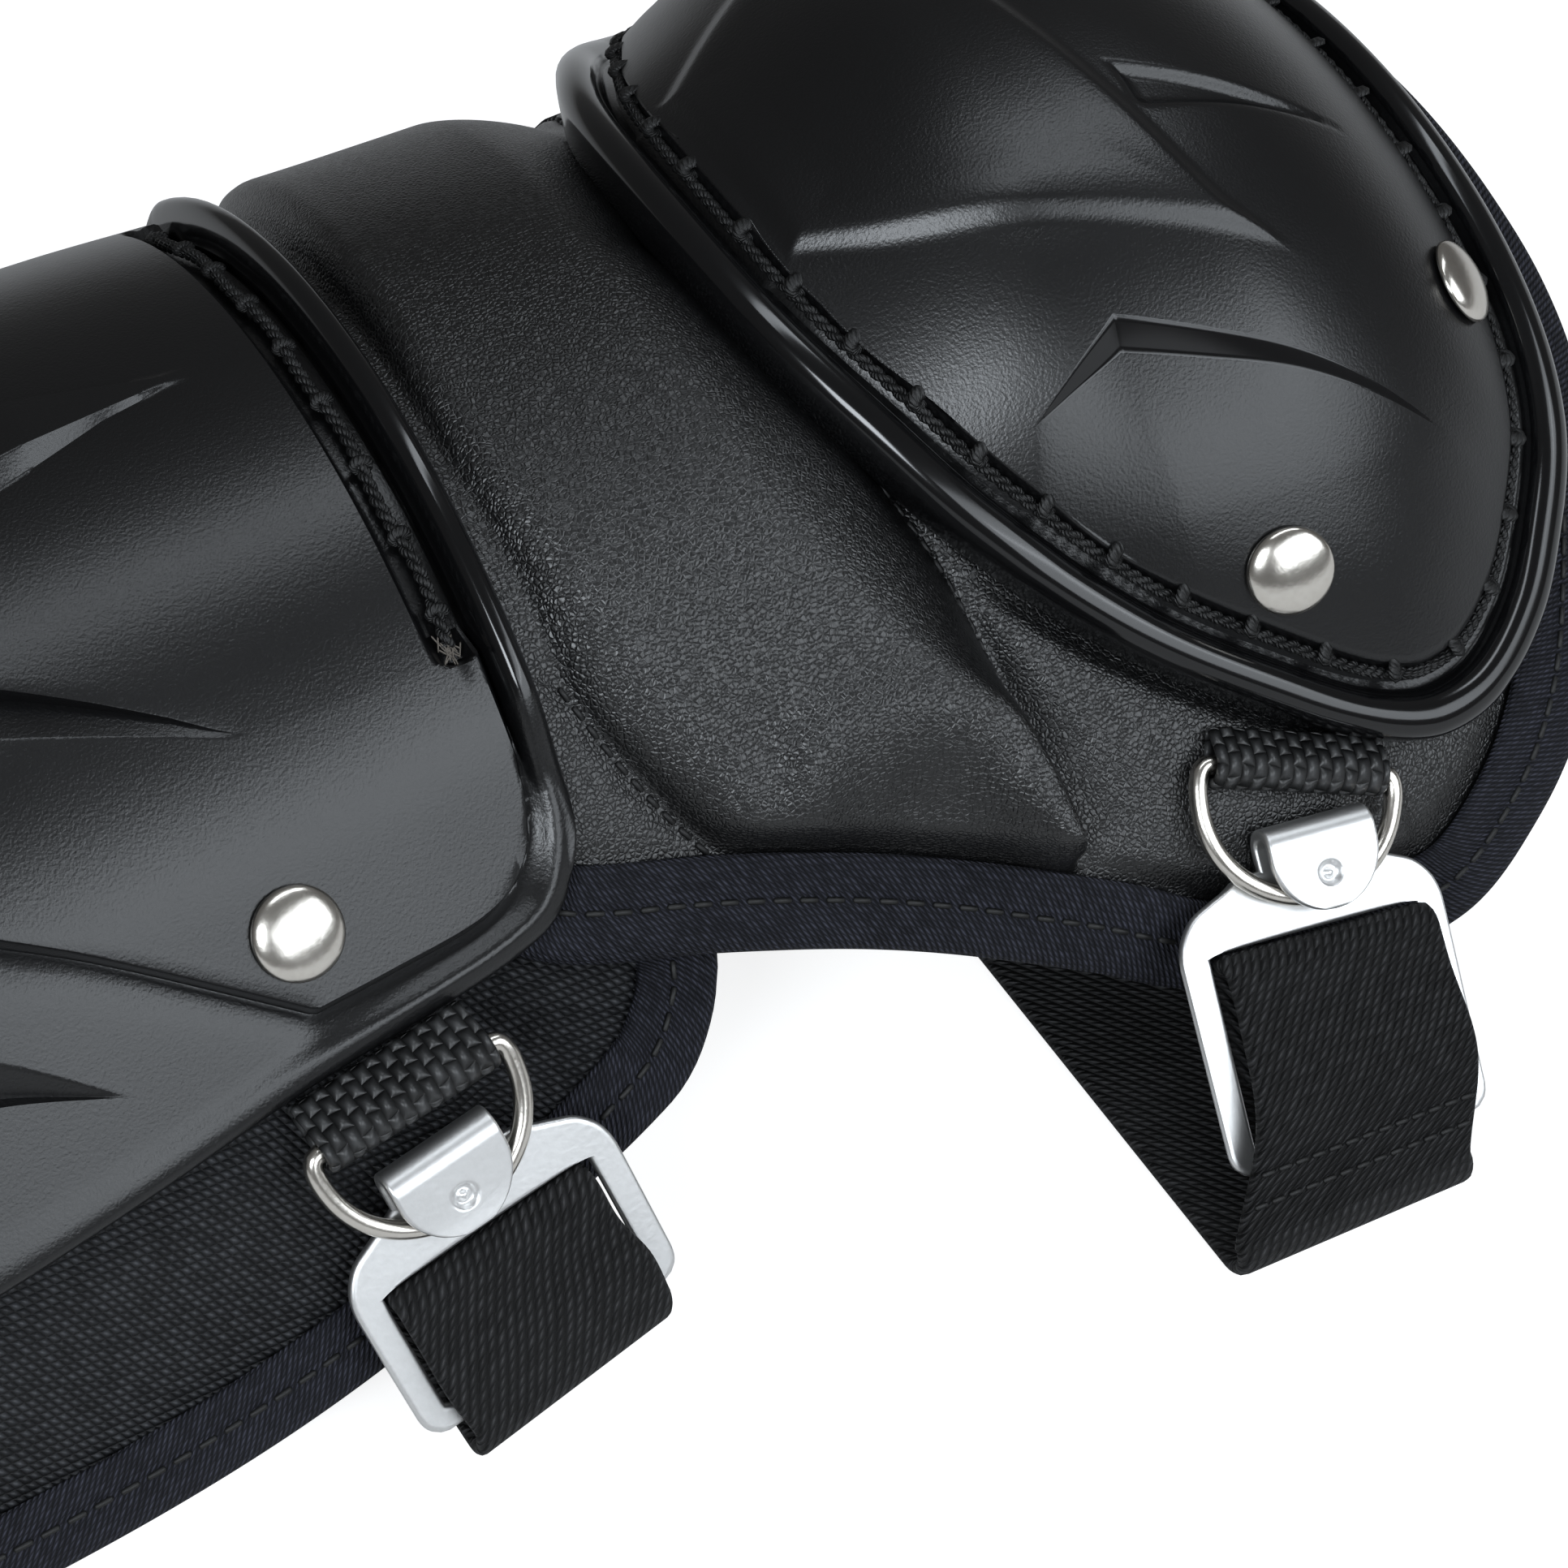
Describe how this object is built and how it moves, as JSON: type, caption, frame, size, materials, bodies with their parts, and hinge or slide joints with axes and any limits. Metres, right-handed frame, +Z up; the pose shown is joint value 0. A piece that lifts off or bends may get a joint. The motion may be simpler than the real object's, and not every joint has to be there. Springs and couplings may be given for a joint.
{
  "type": "catcher leg guard",
  "caption": "Leg guard for a catcher: moulded shin plate and domed knee cap over padded knit and leather, held by elastic straps with sheet metal hooks on D-rings.",
  "frame": {"origin": "on the floor under the middle of the whole guard's box", "axes": "+X along the leg towards the thigh, +Y to the side without clips, +Z up, away from the leg's front"},
  "size_m": [0.4238, 0.213, 0.1047],
  "materials": {
    "shell": "satin moulded plastic with a glossy rim",
    "knit": "matte mesh knit",
    "hide": "pebble grain, half gloss",
    "tape": "matte twill",
    "nickel": "bright nickel plate",
    "webbing": "coarse woven webbing",
    "elastic": "ribbed woven elastic"
  },
  "bodies": {
    "root": {"shin_plate": "shell", "knee_cap": "shell", "shin_pad": "knit", "knee_pad": "hide", "shin_binding": "tape", "knee_binding": "tape", "knee_rivet_1": "nickel", "knee_rivet_2": "nickel", "knee_rivet_3": "nickel", "knee_rivet_4": "nickel", "shin_rivet_1": "nickel", "shin_rivet_2": "nickel", "webbing_knee": "webbing", "webbing_shin": "webbing", "d_ring_knee": "nickel", "d_ring_shin": "nickel", "hook_knee": "nickel", "hook_shin": "nickel", "strap_knee": "elastic", "strap_shin": "elastic"}
  },
  "joints": []
}
